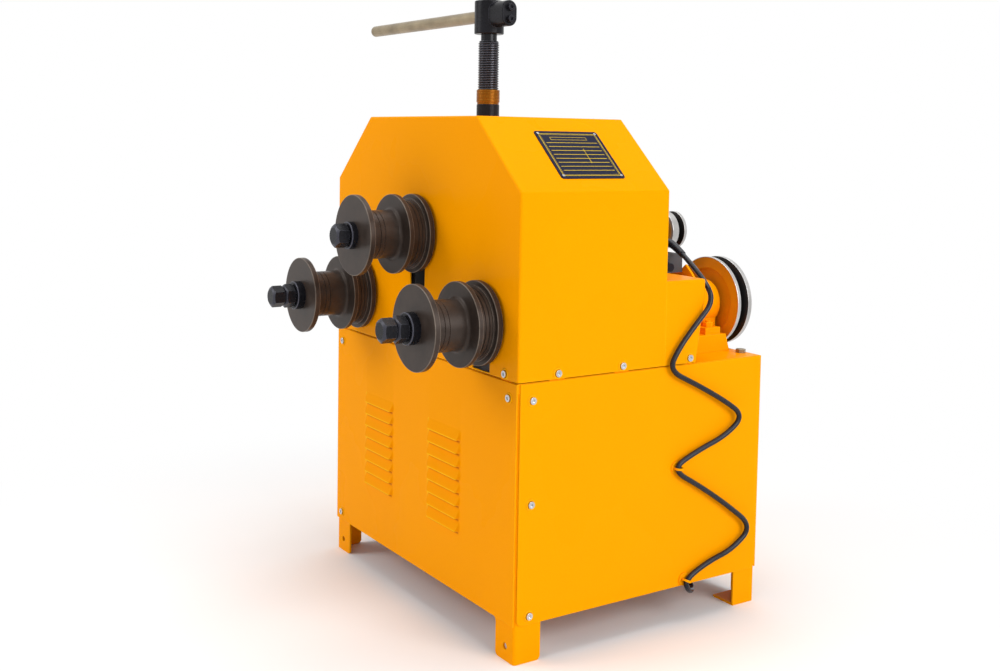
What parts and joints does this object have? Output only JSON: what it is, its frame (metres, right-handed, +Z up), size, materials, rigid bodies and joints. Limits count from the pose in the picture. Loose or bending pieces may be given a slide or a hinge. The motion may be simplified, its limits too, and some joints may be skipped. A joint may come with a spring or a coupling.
{
  "type": "ring roller",
  "caption": "Powered three-roll bender on a sheet cabinet: two driven lower rollers, an upper roller fed down by a hand screw, a gear train under a folded hood, belt drive behind.",
  "frame": {"origin": "on the floor, at the centre of the bounding box of the machine without its lead", "axes": "+Z up, -Y towards the front where the rollers stand out, +X to the right seen from the front"},
  "size_m": [0.6365, 0.6036, 0.879],
  "materials": {
    "orange_paint": "gloss",
    "blackened_steel": "satin",
    "black_oxide": "satin",
    "machined_steel": "satin",
    "raw_steel": "satin",
    "grey_paint": "satin",
    "grey_iron": "matte",
    "machined_aluminium": "satin",
    "bronze": "satin",
    "stainless": "satin",
    "black_plastic": "matte",
    "black_rubber": "matte",
    "navy_print": "satin"
  },
  "bodies": {
    "frame": {"cord_clips": "orange_paint", "front_legs": "orange_paint", "rear_legs": "orange_paint", "front_panel": "orange_paint", "left_panel": "orange_paint", "right_panel": "orange_paint", "rear_panel": "orange_paint", "bed_plate": "orange_paint", "hood": "orange_paint", "rear_cover": "orange_paint", "motor_stand": "orange_paint", "bearing_pedestal": "orange_paint", "foot_bolts": "orange_paint", "head_front_plate": "grey_iron", "head_rear_plate": "grey_iron", "crosshead": "grey_iron", "gear_plate": "grey_iron", "ram_guides": "machined_steel", "gear_plate_spacers": "machined_steel", "idler_axle": "machined_steel", "feed_nut": "black_oxide", "bed_bolts": "raw_steel", "shaft_bushes": "bronze", "motor_housing": "grey_paint", "terminal_box": "grey_paint", "control_box": "grey_paint", "cable_glands": "black_plastic", "power_cord": "black_rubber", "screws_and_rivets": "stainless", "nameplate": "navy_print"},
    "lower_left_roller": {"lower_left_shaft": "black_oxide", "lower_left_outer_die": "blackened_steel", "lower_left_main_die": "blackened_steel", "lower_left_collar": "black_oxide", "lower_left_nuts": "black_oxide", "lower_left_gear": "machined_steel"},
    "lower_right_roller": {"lower_right_shaft": "black_oxide", "lower_right_outer_die": "blackened_steel", "lower_right_main_die": "blackened_steel", "lower_right_collar": "black_oxide", "lower_right_nuts": "black_oxide", "lower_right_gear": "machined_steel"},
    "ram": {"ram": "machined_steel"},
    "upper_roller": {"upper_shaft": "black_oxide", "upper_outer_die": "blackened_steel", "upper_main_die": "blackened_steel", "upper_collar": "black_oxide", "upper_nut": "black_oxide"},
    "feed_screw": {"feed_screw": "black_oxide", "handle_hub": "black_oxide", "handle_bar": "raw_steel", "clamp_screws": "black_oxide"},
    "lock_ring": {"lock_ring": "bronze"},
    "idler": {"idler_gear": "machined_steel"},
    "lay_shaft": {"lay_shaft": "machined_steel", "lay_gear": "machined_steel"},
    "input_shaft": {"input_shaft": "machined_steel", "large_pulley": "machined_aluminium"},
    "motor_rotor": {"motor_rotor": "machined_steel", "small_pulley": "machined_aluminium"}
  },
  "joints": [
    {"name": "motor_spin", "type": "hinge", "parent": "frame", "child": "motor_rotor", "pos_m": [0.0869, -0.15025, 0.53], "axis": [0, 1, 0], "continuous": true},
    {"name": "input_spin", "type": "hinge", "parent": "frame", "child": "input_shaft", "pos_m": [0.1949, -0.15025, 0.431], "axis": [0, 1, 0], "continuous": true},
    {"name": "lay_spin", "type": "hinge", "parent": "frame", "child": "lay_shaft", "pos_m": [0.21204, -0.15025, 0.50709], "axis": [0, 1, 0], "continuous": true},
    {"name": "lower_right_spin", "type": "hinge", "parent": "frame", "child": "lower_right_roller", "pos_m": [0.2199, -0.15025, 0.431], "axis": [0, 1, 0], "continuous": true},
    {"name": "idler_spin", "type": "hinge", "parent": "frame", "child": "idler", "pos_m": [0.0449, -0.15025, 0.50239], "axis": [0, 1, 0], "continuous": true},
    {"name": "lower_left_spin", "type": "hinge", "parent": "frame", "child": "lower_left_roller", "pos_m": [-0.1301, -0.15025, 0.431], "axis": [0, 1, 0], "continuous": true},
    {"name": "ram_slide", "type": "slide", "parent": "frame", "child": "ram", "axis": [0, 0, 1], "range_m": [-0.075, 0.03]},
    {"name": "upper_spin", "type": "hinge", "parent": "ram", "child": "upper_roller", "pos_m": [0.0449, -0.15025, 0.535], "axis": [0, 1, 0], "continuous": true},
    {"name": "feed_screw_turn", "type": "hinge", "parent": "ram", "child": "feed_screw", "pos_m": [0.0449, -0.03525, 0.585], "axis": [0, 0, 1], "range_deg": [-7714.28, 3085.71]},
    {"name": "lock_ring_turn", "type": "hinge", "parent": "frame", "child": "lock_ring", "pos_m": [0.0449, -0.03525, 0.724], "axis": [0, 0, 1], "range_deg": [-270, 270]}
  ],
  "couplings": [
    {"joint": "input_spin", "follows": "motor_spin", "ratio": 0.41355},
    {"joint": "lay_spin", "follows": "motor_spin", "ratio": -0.07519},
    {"joint": "lower_right_spin", "follows": "motor_spin", "ratio": 0.023135},
    {"joint": "idler_spin", "follows": "motor_spin", "ratio": -0.010371},
    {"joint": "lower_left_spin", "follows": "motor_spin", "ratio": 0.023135},
    {"joint": "ram_slide", "follows": "feed_screw_turn", "m_per_rad": 0.00055704}
  ]
}
